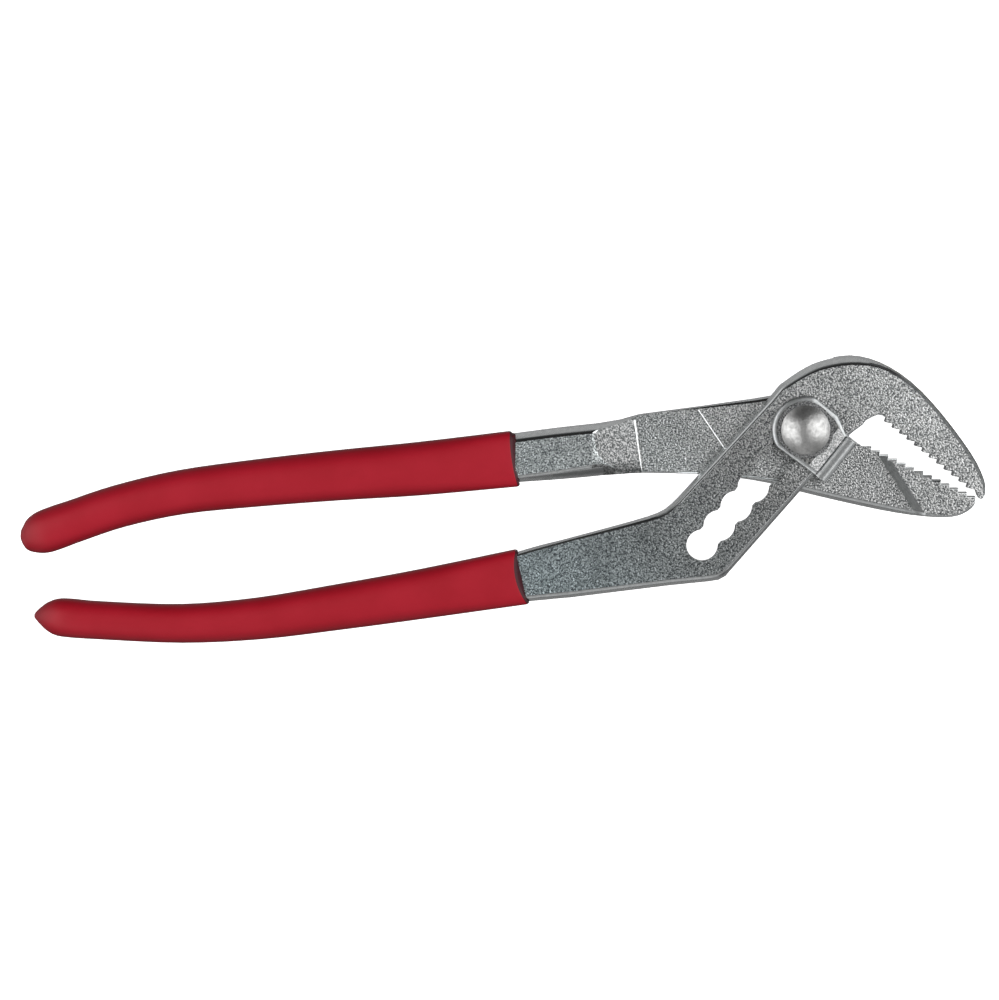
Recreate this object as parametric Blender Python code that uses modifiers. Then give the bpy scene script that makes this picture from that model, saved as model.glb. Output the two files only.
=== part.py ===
# Slip-joint water pump pliers, lying flat on their back.
#
# The origin is on the pivot's axis, at the level of the back. +X runs towards the jaws,
# +Y towards the rear arm's side of the head, and +Z out of the front face.
# Two drop-forged arms cross in a half-lap. The front arm has a row of overlapping holes
# along its neck, and the pivot bolt sits in one of them. A guide plate under the bolt's
# head hooks over the neck's edge, and both handles are dipped in vinyl.

import bpy
import bmesh
from math import asin, atan2, cos, degrees, radians, sin
from mathutils import Matrix, Vector

MM = 0.001
COLLECTION = "groove_joint_pliers"

# Driving dimensions, in millimetres and degrees
HEAD_THICK = 10.0          # both arms together at the half-lap
LAP_GAP = 0.3              # running gap between the two halves
HANDLE_THICK = 7.6         # forged handle under the vinyl
TAPER_START = -46.0        # the head's thickness starts to fall here
TAPER_END = -72.0          # and reaches the handle's here
TAPER_STEPS = 4
NOTCHES = 7
NOTCH_PITCH = 6.7
NOTCH_RADIUS = 4.1
NOTCH_NECK = 6.1           # width of the slot between two notches
NECK_ANGLE = 48.6          # direction of the front arm's neck
EYE_RADIUS = 11.8          # rear arm round the pivot
EYE_START = 132.0          # the eye's arc, from the top edge to the lower jaw
EYE_END = -10.0
EYE_CLEARANCE = 0.5
BLOCK_START = -9.0         # the upper jaw is full thickness from its throat
BLOCK_END = 68.0           # round to this angle
WALL_DRAFT = 2.5           # run of the lower jaw's step wall over its height
WALL_ANGLE = 32.2          # direction that the wall leans in
RAMP_RUN = 14.0            # run of the rear arm's ramp over the same height
BACK_RAMP_RUN = 9.0        # run of the front arm's ramp, on its back
BACK_RAMP_SIDE = -60.0     # the relief's corners beyond this lie on that ramp
BOLT_RADIUS = 2.8
RUNNING_GAP = 0.3
DOME_RADIUS = 6.35
DOME_HEIGHT = 3.0
DOME_RIM = 0.4
TAIL_RADIUS = 5.0
TAIL_DEPTH = 1.8
TAIL_RIM = 0.5
WASHER_RADIUS = 7.3
WASHER_THICK = 0.6
GUIDE_THICK = 1.5
GUIDE_RADIUS = 8.75
GUIDE_FLAT = 8.15          # half width between the guide plate's flats
GUIDE_SHOULDER = 4.4       # where the upper flat turns in towards the lip
GUIDE_TURN = 2.8           # the guide plate sits slightly askew of the neck
LIP_CREASE = 9.2           # distances of the hooked lip from the pivot
LIP_INNER = 10.7
LIP_OUTER = 12.7
LIP_ROUND = 1.5
LIP_RISE = 0.4             # the bend stands proud of the plate
LIP_START = -7.7           # the lip's two ends, along the neck
LIP_END = 5.5
LIP_WEB = 0.5              # the plate runs in under the lip by this much
LIP_BOTTOM = 5.4
HOLE_SIDES = 32
GRIP_THICK = 10.0
GRIP_ROUND = 3.6           # rounding of the vinyl's edges
TOOTH_DEPTH = 1.05
TOOTH_LEAN = 0.86          # place of a tooth's peak along its pitch
LOWER_TEETH = 13
UPPER_TEETH = 12

LAP_LOW = (HEAD_THICK - LAP_GAP) / 2     # front of the rear arm's thin plate
LAP_HIGH = (HEAD_THICK + LAP_GAP) / 2    # back of the front arm's thin plate
GUIDE_LOW = HEAD_THICK + RUNNING_GAP
WASHER_LOW = GUIDE_LOW + GUIDE_THICK + RUNNING_GAP
DOME_LOW = WASHER_LOW + WASHER_THICK + RUNNING_GAP
CUT_PAST = 1.0             # how far a cutter runs past a face

# Centre lines of the handles, from the tip to the head: x, y, half width
REAR_CORE = [
    (-195.0, -25.8, 4.2), (-178.0, -20.0, 4.4), (-162.0, -16.5, 4.6), (-142.0, -14.0, 4.9),
    (-121.0, -12.0, 5.3), (-100.0, -10.2, 5.7), (-77.0, -7.7, 6.3), (-64.0, -6.4, 6.7),
    (-53.0, -5.3, 6.8),
]
REAR_GRIP = [
    (-198.4, -27.2, 5.6), (-190.0, -24.0, 5.6), (-178.0, -20.0, 5.6), (-162.0, -16.4, 5.8),
    (-142.0, -14.0, 6.2), (-121.0, -12.0, 6.6), (-100.0, -10.3, 7.0), (-75.2, -7.8, 7.3),
]
FRONT_CORE = [
    (-191.0, -49.2, 3.7), (-183.0, -49.8, 3.8), (-162.0, -50.6, 4.0), (-142.0, -49.3, 4.3),
    (-121.0, -46.3, 4.7), (-100.0, -43.0, 5.2), (-78.0, -39.3, 6.2), (-70.0, -37.8, 6.9),
]
FRONT_GRIP = [
    (-195.4, -48.9, 5.0), (-183.0, -49.8, 5.0), (-162.0, -50.6, 5.1), (-142.0, -49.3, 5.5),
    (-121.0, -46.3, 6.0), (-100.0, -43.0, 6.5), (-74.0, -38.4, 7.4),
]

# Outlines of the heads, each from the handle and back to it
REAR_TOP = [(-48.0, 2.4), (-43.0, 3.8), (-27.0, 5.9), (-13.0, 7.9)]
REAR_TEETH_START = (15.0, -4.6)
REAR_TEETH_END = (44.1, -18.6)
REAR_NOSE = [
    (44.1, -19.2), (43.3, -20.5), (41.0, -22.1), (38.0, -22.9), (34.0, -23.0), (28.0, -22.6),
    (19.6, -21.2), (9.2, -18.95), (-1.2, -16.45), (-9.0, -14.3), (-18.0, -12.8), (-28.0, -11.9),
    (-42.0, -11.6), (-47.0, -11.8),
]
FRONT_SHOULDER = [(-61.0, -28.2), (-50.5, -25.4), (-41.0, -22.7), (-36.5, -20.8), (-33.3, -18.0)]
NECK_TOP = (-9.6, 7.9)
HOOK = [
    (-6.7, 11.5), (-1.4, 15.2), (3.9, 17.7), (11.8, 19.1), (19.6, 17.3), (27.6, 12.3), (35.4, 4.2),
    (43.2, -6.3), (46.4, -12.6), (46.9, -16.0), (46.3, -17.8), (45.2, -18.0), (44.6, -17.0),
]
FRONT_TEETH_START = (44.2, -15.6)
FRONT_TEETH_END = (21.0, 3.0)
THROAT = [(20.0, 3.6), (18.8, 3.8), (17.2, 3.15), (15.7, 2.3), (14.9, 1.2)]
THROAT_CORNER = (11.6, -1.5)
HEEL = [(-19.3, -36.8), (-20.6, -38.3), (-22.4, -39.3), (-25.0, -39.7)]
FRONT_BOTTOM = [(-35.0, -40.7), (-50.5, -42.6), (-61.0, -43.9)]

# Reliefs that make the half-lap: round the rear arm's eye, and behind the front arm's neck
REAR_RELIEF = [(-48, 25), (-39.4, -30), (32.2, -27.6), (17.6, -4.5), (30, 2), (30, 25)]
FRONT_RELIEF = [(11.2, 27.8), (-30, 29), (-62, -20), (-68, -60), (-20, -60), (20, -35), (16, -7)]

MATERIALS = {
    "plated_forging": ((0.42, 0.43, 0.43, 1.0), 0.38, 1.0),
    "red_vinyl": ((0.42, 0.012, 0.02, 1.0), 0.35, 0.0),
    "polished_bolt": ((0.62, 0.62, 0.61, 1.0), 0.18, 1.0),
    "pressed_plate": ((0.48, 0.48, 0.47, 1.0), 0.3, 1.0),
    "washer_steel": ((0.3, 0.3, 0.3, 1.0), 0.35, 1.0),
}


def clear_scene():
    for obj in list(bpy.data.objects):
        bpy.data.objects.remove(obj, do_unlink=True)


def new_collection(name):
    collection = bpy.data.collections.new(name)
    bpy.context.scene.collection.children.link(collection)
    return collection


def make_materials():
    made = {}
    for name, (colour, roughness, metallic) in MATERIALS.items():
        material = bpy.data.materials.new(name)
        material.use_nodes = True
        shader = material.node_tree.nodes["Principled BSDF"]
        shader.inputs["Base Color"].default_value = colour
        shader.inputs["Roughness"].default_value = roughness
        shader.inputs["Metallic"].default_value = metallic
        material.diffuse_color = colour
        made[name] = material
    return made


# Outline helpers: points are Vectors or tuples, in millimetres

def smooth(points, steps=3):
    """Points on a smooth curve through the given points."""
    ends = [Vector(p) for p in [points[0], *points, points[-1]]]
    out = []
    for p0, p1, p2, p3 in zip(ends, ends[1:], ends[2:], ends[3:]):
        for k in range(steps):
            t = k / steps
            bend = 2 * p0 - 5 * p1 + 4 * p2 - p3
            twist = 3 * p1 - p0 - 3 * p2 + p3
            out.append(0.5 * (2 * p1 + (p2 - p0) * t + bend * t ** 2 + twist * t ** 3))
    out.append(ends[-1])
    return out


def arc(centre, radius, start, end, steps):
    """Points on a circle from one angle to another, in degrees."""
    angles = [radians(start + (end - start) * k / steps) for k in range(steps + 1)]
    return [Vector((centre[0] + radius * cos(a), centre[1] + radius * sin(a))) for a in angles]


def saw_teeth(start, end, count):
    """Valleys on the line from start to end, with peaks on its left that lean towards the end."""
    start, end = Vector(start), Vector(end)
    step = (end - start) / count
    out = Vector((-step.y, step.x)).normalized() * TOOTH_DEPTH
    points = []
    for k in range(count):
        points.append(start + step * k)
        points.append(start + step * (k + TOOTH_LEAN) + out)
    return points + [end]


def edges_of(spine):
    """The upper and lower edges of a bar that follows a centre line with half widths."""
    rows = smooth(spine)
    upper, lower = [], []
    for k, row in enumerate(rows):
        ahead = rows[min(k + 1, len(rows) - 1)] - rows[max(k - 1, 0)]
        side = Vector((-ahead.y, ahead.x)).normalized() * row.z
        upper.append(row.xy + side)
        lower.append(row.xy - side)
    return upper, lower


def round_tip(spine, steps=10):
    """The half circle round a bar's first point, from its lower edge to its upper one."""
    x, y, radius = spine[0]
    ahead = Vector(spine[1]) - Vector(spine[0])
    turn = degrees(atan2(ahead.y, ahead.x))
    return arc((x, y), radius, turn - 90, turn - 270, steps)[1:-1]


def along_neck(along, across, askew=0.0):
    """A point from its places along the neck and across it, to the right."""
    a = radians(NECK_ANGLE + askew)
    return Vector((along * cos(a) + across * sin(a), along * sin(a) - across * cos(a)))


# Solid helpers

def as_mesh(source, collection):
    """Replaces a curve object by a closed mesh object in the same place."""
    bpy.context.view_layer.update()
    graph = bpy.context.evaluated_depsgraph_get()
    mesh = bpy.data.meshes.new_from_object(source.evaluated_get(graph))
    work = bmesh.new()
    work.from_mesh(mesh)
    bmesh.ops.remove_doubles(work, verts=work.verts, dist=1e-6)
    bmesh.ops.recalc_face_normals(work, faces=work.faces)
    work.to_mesh(mesh)
    work.free()
    name, place = source.name, source.matrix_world.copy()
    bpy.data.objects.remove(source, do_unlink=True)
    solid = bpy.data.objects.new(name, mesh)
    solid.matrix_world = place
    collection.objects.link(solid)
    return solid


def plate(name, loops, low, high, collection, rounding=0.0):
    """A flat outline, with holes where there are more loops, between two heights."""
    curve = bpy.data.curves.new(name, "CURVE")
    curve.dimensions = "2D"
    curve.fill_mode = "BOTH"
    curve.extrude = ((high - low) / 2 - rounding) * MM
    curve.bevel_depth = rounding * MM
    curve.bevel_resolution = 2
    curve.offset = -rounding * MM
    for loop in loops:
        spline = curve.splines.new("POLY")
        spline.points.add(len(loop) - 1)
        for point, place in zip(spline.points, loop):
            point.co = (place[0] * MM, place[1] * MM, 0, 1)
        spline.use_cyclic_u = True
    source = bpy.data.objects.new(name, curve)
    source.location.z = (low + high) / 2 * MM
    collection.objects.link(source)
    return as_mesh(source, collection)


def turned(name, profile, collection, steps=48):
    """A solid of revolution about the pivot's axis; the profile is radius, height, top first."""
    mesh = bpy.data.meshes.new(name)
    work = bmesh.new()
    verts = [work.verts.new((radius * MM, 0, height * MM)) for radius, height in profile]
    for one, two in zip(verts, verts[1:]):
        work.edges.new((one, two))
    if profile[0][0] > 0:
        work.edges.new((verts[-1], verts[0]))
    work.to_mesh(mesh)
    work.free()
    solid = bpy.data.objects.new(name, mesh)
    collection.objects.link(solid)
    screw = solid.modifiers.new("turn", "SCREW")
    screw.steps = steps
    screw.render_steps = steps
    screw.use_merge_vertices = True
    screw.merge_threshold = 1e-6
    screw.use_smooth_shade = True
    return solid


def slant(solid, move):
    """Moves a cutter's vertices sideways; move gets x, y and z in millimetres."""
    base = solid.matrix_world.translation.z / MM
    for vertex in solid.data.vertices:
        x, y = move(vertex.co.x / MM, vertex.co.y / MM, vertex.co.z / MM + base)
        vertex.co.x, vertex.co.y = x * MM, y * MM


def thin_handle(solid):
    """Lowers the thickness smoothly from the head's to the handle's."""
    work = bmesh.new()
    work.from_mesh(solid.data)
    for k in range(TAPER_STEPS + 1):
        x = TAPER_START + (TAPER_END - TAPER_START) * k / TAPER_STEPS
        every = [*work.verts, *work.edges, *work.faces]
        bmesh.ops.bisect_plane(work, geom=every, plane_co=(x * MM, 0, 0), plane_no=(1, 0, 0), dist=1e-6)
    for vertex in work.verts:
        part = (vertex.co.x / MM - TAPER_START) / (TAPER_END - TAPER_START)
        part = min(max(part, 0.0), 1.0)
        vertex.co.z *= 1 - (1 - HANDLE_THICK / HEAD_THICK) * part * part * (3 - 2 * part)
    bmesh.ops.triangulate(work, faces=work.faces)
    work.to_mesh(solid.data)
    work.free()


def carve(solid, tool, operation="DIFFERENCE"):
    tool.hide_render = True
    tool.display_type = "WIRE"
    step = solid.modifiers.new(tool.name, "BOOLEAN")
    step.operation = operation
    step.solver = "EXACT"
    step.object = tool


def finish(solid, material, joint):
    solid.data.materials.clear()
    solid.data.materials.append(material)
    solid.parent = joint
    solid.data.shade_smooth()
    solid.data.set_sharp_from_angle(angle=radians(30))


# The rear arm: lower jaw, thin eye plate, ramp and upper-left handle

def rear_outline():
    upper, lower = edges_of(REAR_CORE)
    eye = arc((0, 0), EYE_RADIUS, EYE_START, EYE_END, 24)
    teeth = saw_teeth(REAR_TEETH_START, REAR_TEETH_END, LOWER_TEETH)
    return [
        *round_tip(REAR_CORE), *upper, *REAR_TOP, *eye, *teeth, *smooth(REAR_NOSE, 2),
        *reversed(lower),
    ]


def step_wall(x, y, z):
    """Slants the relief's two ends: the handle's ramp and the lower jaw's wall."""
    rise = (z - LAP_LOW) / (HEAD_THICK + CUT_PAST - LAP_LOW)
    if x < 0:
        return x - RAMP_RUN * rise, y
    turn = radians(WALL_ANGLE)
    return x + WALL_DRAFT * cos(turn) * rise, y + WALL_DRAFT * sin(turn) * rise


def make_rear_arm(parts, cutters):
    arm = plate("rear_jaw_forging", [rear_outline()], 0, HEAD_THICK, parts)
    thin_handle(arm)
    relief = plate("rear_relief", [REAR_RELIEF], LAP_LOW, HEAD_THICK + CUT_PAST, cutters)
    slant(relief, step_wall)
    carve(arm, relief)
    shank, tail = BOLT_RADIUS + RUNNING_GAP, TAIL_RADIUS + RUNNING_GAP
    hole = [
        (0, LAP_LOW + CUT_PAST), (shank, LAP_LOW + CUT_PAST), (shank, TAIL_DEPTH + RUNNING_GAP),
        (tail, TAIL_RIM), (tail, -CUT_PAST), (0, -CUT_PAST),
    ]
    carve(arm, turned("bolt_hole", hole, cutters))
    return arm


# The front arm: upper jaw, neck with its row of notches, and lower-left handle

def front_outline():
    upper, lower = edges_of(FRONT_CORE)
    teeth = saw_teeth(FRONT_TEETH_START, FRONT_TEETH_END, UPPER_TEETH)
    return [
        *round_tip(FRONT_CORE), *upper, *smooth(FRONT_SHOULDER, 2), NECK_TOP, *smooth(HOOK),
        *teeth, *THROAT, THROAT_CORNER, *HEEL, *FRONT_BOTTOM, *reversed(lower),
    ]


def notch_slot():
    """The row of overlapping holes: down the right side of the row and back up the left."""
    waist = degrees(asin(NOTCH_NECK / 2 / NOTCH_RADIUS))
    right = []
    for k in range(NOTCHES):
        start = NECK_ANGLE if k == 0 else NECK_ANGLE - waist
        end = NECK_ANGLE - 180 if k == NOTCHES - 1 else NECK_ANGLE - 180 + waist
        right += arc(along_neck(-k * NOTCH_PITCH, 0), NOTCH_RADIUS, start, end, 8)
    axis = along_neck(1, 0)
    left = [2 * point.dot(axis) * axis - point for point in reversed(right)]
    return right + left[1:-1]


def back_ramp(x, y, z):
    """Slants the end of the relief on the front arm's back, where the handle thickens."""
    rise = (LAP_HIGH - z) / (LAP_HIGH + CUT_PAST)
    return (x - BACK_RAMP_RUN * rise if x < BACK_RAMP_SIDE else x), y


def make_front_arm(parts, cutters):
    outline = [front_outline(), notch_slot()]
    arm = plate("front_jaw_forging", outline, 0, HEAD_THICK, parts)
    thin_handle(arm)
    block = arc((0, 0), EYE_RADIUS + EYE_CLEARANCE, BLOCK_START, BLOCK_END, 20)
    relief = plate("front_relief", [[*FRONT_RELIEF, *block]], -CUT_PAST, LAP_HIGH, cutters)
    slant(relief, back_ramp)
    carve(arm, relief)
    return arm


# Vinyl grips: a rounded sleeve with a blind pocket for the handle

def make_grip(name, outer, core, parts, cutters):
    upper, lower = edges_of(outer)
    outline = [*round_tip(outer), *upper, *reversed(lower)]
    grip = plate(name, [outline], 0, GRIP_THICK, parts, GRIP_ROUND)
    wide = [(x, y, half + RUNNING_GAP) for x, y, half in core]
    upper, lower = edges_of(wide)
    low = (HEAD_THICK - HANDLE_THICK) / 2 - RUNNING_GAP
    pocket = [*round_tip(wide), *upper, *reversed(lower)]
    carve(grip, plate(name + "_pocket", [pocket], low, HEAD_THICK - low, cutters))
    return grip


# The pivot: bolt with a domed head and a flush tail, washer, and hooked guide plate

def make_bolt(parts):
    ball = (DOME_RADIUS ** 2 + DOME_HEIGHT ** 2) / (2 * DOME_HEIGHT)
    centre = DOME_LOW + DOME_RIM + DOME_HEIGHT - ball
    spread = degrees(asin(DOME_RADIUS / ball))
    dome = [(0, centre + ball), *arc((0, centre), ball, 90, 90 - spread, 10)[1:]]
    shank = [
        (DOME_RADIUS, DOME_LOW), (BOLT_RADIUS, DOME_LOW), (BOLT_RADIUS, TAIL_DEPTH),
        (TAIL_RADIUS, TAIL_RIM), (TAIL_RADIUS, 0), (0, 0),
    ]
    return turned("pivot_bolt", dome + shank, parts)


def make_washer(parts):
    hole = BOLT_RADIUS + RUNNING_GAP
    top = WASHER_LOW + WASHER_THICK
    ring = [(hole, top), (WASHER_RADIUS, top), (WASHER_RADIUS, WASHER_LOW), (hole, WASHER_LOW)]
    return turned("head_washer", ring, parts)


def make_lip(cutters):
    """The guide plate's hooked edge: its section, drawn flat, then stood up along the neck."""
    top = GUIDE_LOW + GUIDE_THICK + LIP_RISE
    bend = arc((LIP_OUTER - LIP_ROUND, top - LIP_ROUND), LIP_ROUND, 90, 0, 6)
    section = [
        (LIP_CREASE, top), *bend, (LIP_OUTER, LIP_BOTTOM), (LIP_INNER, LIP_BOTTOM),
        (LIP_INNER, GUIDE_LOW), (LIP_CREASE, GUIDE_LOW),
    ]
    lip = plate("guide_lip", [section], -LIP_END, -LIP_START, cutters)
    across, along = along_neck(0, 1, GUIDE_TURN), along_neck(1, 0, GUIDE_TURN)
    stand = Matrix((
        (across.x, 0, -along.x, 0),
        (across.y, 0, -along.y, 0),
        (0, 1, 0, 0),
        (0, 0, 0, 1),
    ))
    lip.data.transform(stand @ lip.matrix_world)
    lip.matrix_world = Matrix()
    return lip


def make_guide(parts, cutters):
    turn = NECK_ANGLE + GUIDE_TURN
    corner = degrees(asin(GUIDE_FLAT / GUIDE_RADIUS))
    inside = LIP_CREASE + LIP_WEB
    outline = [
        *arc((0, 0), GUIDE_RADIUS, turn + 90 - corner, turn + 90 + corner, 20),
        along_neck(LIP_START, inside, GUIDE_TURN),
        along_neck(LIP_END, inside, GUIDE_TURN),
        along_neck(GUIDE_FLAT, GUIDE_SHOULDER, GUIDE_TURN),
    ]
    hole = arc((0, 0), BOLT_RADIUS + RUNNING_GAP, 360, 360 / HOLE_SIDES, HOLE_SIDES - 1)
    guide = plate("guide_plate", [outline, hole], GUIDE_LOW, GUIDE_LOW + GUIDE_THICK, parts)
    carve(guide, make_lip(cutters), "UNION")
    return guide


def joint_empty(name, collection, parent=None):
    empty = bpy.data.objects.new(name, None)
    empty.empty_display_size = 10 * MM
    empty.parent = parent
    collection.objects.link(empty)
    return empty


def main():
    clear_scene()
    parts = new_collection(COLLECTION)
    cutters = new_collection("cutters")
    paint = make_materials()

    rear = joint_empty("rear_arm", parts)
    pivot = joint_empty("pivot", parts, rear)
    guide = joint_empty("guide", parts, pivot)
    front = joint_empty("front_arm", parts, guide)

    finish(make_rear_arm(parts, cutters), paint["plated_forging"], rear)
    rear_grip = make_grip("rear_grip", REAR_GRIP, REAR_CORE, parts, cutters)
    finish(rear_grip, paint["red_vinyl"], rear)
    finish(make_front_arm(parts, cutters), paint["plated_forging"], front)
    front_grip = make_grip("front_grip", FRONT_GRIP, FRONT_CORE, parts, cutters)
    finish(front_grip, paint["red_vinyl"], front)
    finish(make_bolt(parts), paint["polished_bolt"], pivot)
    finish(make_washer(parts), paint["washer_steel"], pivot)
    finish(make_guide(parts, cutters), paint["pressed_plate"], guide)


main()
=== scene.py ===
# Slip-joint water pump pliers: the looks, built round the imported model.
# Metres in the scene; the dictionaries below are in millimetres and degrees.

from math import asin, atan2, cos, degrees, pi, radians, sin

import bmesh
import bpy
from mathutils import Matrix, Vector


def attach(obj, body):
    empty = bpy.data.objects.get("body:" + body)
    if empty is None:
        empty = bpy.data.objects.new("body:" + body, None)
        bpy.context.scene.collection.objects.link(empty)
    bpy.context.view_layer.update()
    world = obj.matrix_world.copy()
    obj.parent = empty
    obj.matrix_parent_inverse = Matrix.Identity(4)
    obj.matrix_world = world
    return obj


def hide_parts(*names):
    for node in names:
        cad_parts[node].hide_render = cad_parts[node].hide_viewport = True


mm = 0.001
tiny = 1e-7              # metres: closer than this is one place
sharpAngle = 40

print("loading the packed model")
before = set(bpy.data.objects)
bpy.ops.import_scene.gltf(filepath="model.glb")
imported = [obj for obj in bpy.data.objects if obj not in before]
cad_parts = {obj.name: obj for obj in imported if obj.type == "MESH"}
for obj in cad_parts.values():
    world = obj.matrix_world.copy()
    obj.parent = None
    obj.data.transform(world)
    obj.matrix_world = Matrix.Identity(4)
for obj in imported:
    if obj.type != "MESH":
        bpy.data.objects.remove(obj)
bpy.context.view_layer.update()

scene = bpy.context.scene
scene.view_settings.view_transform = "Standard"
scene.view_settings.look = "None"


# Materials

def colour(code):
    values = [int(code[k:k + 2], 16) / 255 for k in (1, 3, 5)]
    return [v / 12.92 if v <= 0.04045 else ((v + 0.055) / 1.055) ** 2.4 for v in values] + [1.0]


def addNode(tree, kind, settings=None, values=None, links=None):
    node = tree.nodes.new(kind)
    for key, value in (settings or {}).items():
        setattr(node, key, value)
    for key, value in (values or {}).items():
        node.inputs[key].default_value = value
    for key, socket in (links or {}).items():
        tree.links.new(socket, node.inputs[key])
    return node


def compute(tree, operation, *terms):
    node = addNode(tree, "ShaderNodeMath", {"operation": operation})
    for socket, term in zip(node.inputs, terms):
        if isinstance(term, bpy.types.NodeSocket):
            tree.links.new(term, socket)
        else:
            socket.default_value = term
    return node.outputs["Value"]


def spread(tree, value, start, end=(0.0, 1.0)):
    return addNode(tree, "ShaderNodeMapRange", {}, {
        "From Min": start[0], "From Max": start[1], "To Min": end[0], "To Max": end[1]},
        {"Value": value}).outputs["Result"]


def noisePattern(tree, place, size, detail, roughness=0.5):
    return addNode(tree, "ShaderNodeTexNoise", {}, {
        "Scale": 1 / (size * mm), "Detail": detail, "Roughness": roughness},
        {"Vector": place}).outputs["Fac"]


def addBump(tree, shader, height, depth, strength):
    bump = addNode(tree, "ShaderNodeBump", {}, {"Distance": depth * mm}, {"Height": height})
    if isinstance(strength, bpy.types.NodeSocket):
        tree.links.new(strength, bump.inputs["Strength"])
    else:
        bump.inputs["Strength"].default_value = strength
    tree.links.new(bump.outputs["Normal"], shader.inputs["Normal"])


def startMaterial(name, look):
    material = bpy.data.materials.new(name)
    material.use_nodes = True
    tree = material.node_tree
    shader = tree.nodes["Principled BSDF"]
    for key, value in look.items():
        shader.inputs[key].default_value = value
    place = addNode(tree, "ShaderNodeTexCoord")
    return material, tree, shader, place.outputs["Object"]


def colourRamp(tree, factor, stops):
    ramp = addNode(tree, "ShaderNodeValToRGB", links={"Fac": factor})
    ramp.color_ramp.elements[0].position = stops[0][0]
    ramp.color_ramp.elements[0].color = colour(stops[0][1])
    ramp.color_ramp.elements[1].position = stops[-1][0]
    ramp.color_ramp.elements[1].color = colour(stops[-1][1])
    for spot, code in stops[1:-1]:
        ramp.color_ramp.elements.new(spot).color = colour(code)
    return ramp.outputs["Color"]


noiseSpan = (0.3, 0.7)       # most of a noise's values lie between these

# Nickel-chrome plating over a shot-blasted drop forging: a fine pebbled grain that breaks the
# reflection into sparkles. The grain's colour is partly the plating's own speckle and partly painted
# light: painted shade in the pits, painted glints on the peaks. The colour also grows lighter from
# the handles towards the jaws.
blasted = {
    "grain": 0.44,           # pebble size
    "fineGrain": 0.25, "fineShare": 0.5,
    "coarse": 7.0,           # patches of heavier scale
    "coarseSpan": (0.35, 0.65), "coarseStrength": (0.7, 1.0),
    "height": 0.16,
    "shades": [(0.34, "#66686a"), (0.46, "#a8aaaa"), (0.54, "#c2c4c3"), (0.66, "#f0f0f0")],
    "roughness": (0.30, 0.44),
    "toneSpan": (-104.0, 35.0), "toneSlope": 0.9,
    "toneAlong": [(0.0, "#ffffff"), (1.0, "#ffffff")],
}


def makeBlasted(name, spec):
    material, tree, shader, place = startMaterial(name, {"Metallic": 1.0})
    pebble = noisePattern(tree, place, spec["grain"], 0.6)
    fine = noisePattern(tree, place, spec["fineGrain"], 1.0)
    patch = noisePattern(tree, place, spec["coarse"], 2.0)
    share = spec["fineShare"]
    mixed = compute(tree, "MULTIPLY_ADD", fine, share, -share / 2)
    grain = compute(tree, "ADD", pebble, mixed)
    # partly painted light: the colour follows the bump height, painted shade in the pits and painted
    # glints on the peaks, over the plating's own speckle
    shade = colourRamp(tree, grain, spec["shades"])
    # a second colour ramp along the arm, lighter from the handles towards the jaws, multiplies the
    # grain colour
    along = addNode(tree, "ShaderNodeVectorMath", {"operation": "DOT_PRODUCT"}, {
        1: (1.0, spec["toneSlope"], 0.0)}, {0: place}).outputs["Value"]
    toneAlong = colourRamp(tree, spread(tree, along, [end * mm for end in spec["toneSpan"]]), spec["toneAlong"])
    toned = addNode(tree, "ShaderNodeMix", {"data_type": "RGBA", "blend_type": "MULTIPLY"},
                   {0: 1.0}, {6: shade, 7: toneAlong})
    tree.links.new(toned.outputs[2], shader.inputs["Base Color"])
    tree.links.new(spread(tree, pebble, noiseSpan, spec["roughness"][::-1]),
                   shader.inputs["Roughness"])
    strength = spread(tree, patch, spec["coarseSpan"], spec["coarseStrength"])
    addBump(tree, shader, grain, spec["height"], strength)
    return material


# The same plating on trimmed flanks: smoother, with faint draw lines and a satin gloss
flank = {
    "grain": 0.9,
    "height": 0.02,
    "shades": [(0.3, "#c2c5c6"), (0.7, "#dee0e0")],
    "roughness": (0.2, 0.34),
}


def makeFlank(name, spec):
    material, tree, shader, place = startMaterial(name, {"Metallic": 1.0})
    pebble = noisePattern(tree, place, spec["grain"], 4.0, 0.6)
    tree.links.new(colourRamp(tree, pebble, spec["shades"]), shader.inputs["Base Color"])
    tree.links.new(spread(tree, pebble, noiseSpan, spec["roughness"][::-1]),
                   shader.inputs["Roughness"])
    addBump(tree, shader, pebble, spec["height"], 0.6)
    return material


# Dip-moulded PVC: a satin skin over a deep red body, slightly cloudy where the dip ran thick
vinyl = {
    "shades": [(0.35, "#a60e22"), (0.65, "#ae1428")],
    "cloud": 14.0,
    # painted shade: the red darkens towards the middle plane, so the grip's sides read as turned away
    # from the light
    "middle": 5.0, "sides": (0.8, 4.4), "paintedSideShade": 0.44,   # darker near its middle plane
    "skin": 0.8,
    "height": 0.006,
}


def makeVinyl(name, spec):
    material, tree, shader, place = startMaterial(name, {
        "Metallic": 0.0, "Roughness": 0.48, "IOR": 1.5, "Specular IOR Level": 0.3})
    shade = colourRamp(tree, noisePattern(tree, place, spec["cloud"], 3.0), spec["shades"])
    # painted shade: darker colour near the middle plane, lighter towards the top and bottom faces
    height = addNode(tree, "ShaderNodeSeparateXYZ", links={"Vector": place}).outputs["Z"]
    above = compute(tree, "ABSOLUTE", compute(tree, "SUBTRACT", height, spec["middle"] * mm))
    side = spread(tree, above, [end * mm for end in spec["sides"]], (spec["paintedSideShade"], 1.0))
    paintedShadeTint = addNode(tree, "ShaderNodeVectorMath", {"operation": "SCALE"}, {}, {
        0: shade, "Scale": side})
    tree.links.new(paintedShadeTint.outputs["Vector"], shader.inputs["Base Color"])
    addBump(tree, shader, noisePattern(tree, place, spec["skin"], 2.0), spec["height"], 0.5)
    return material


# these ramps lighten the plating from the handles towards the jaws
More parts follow.
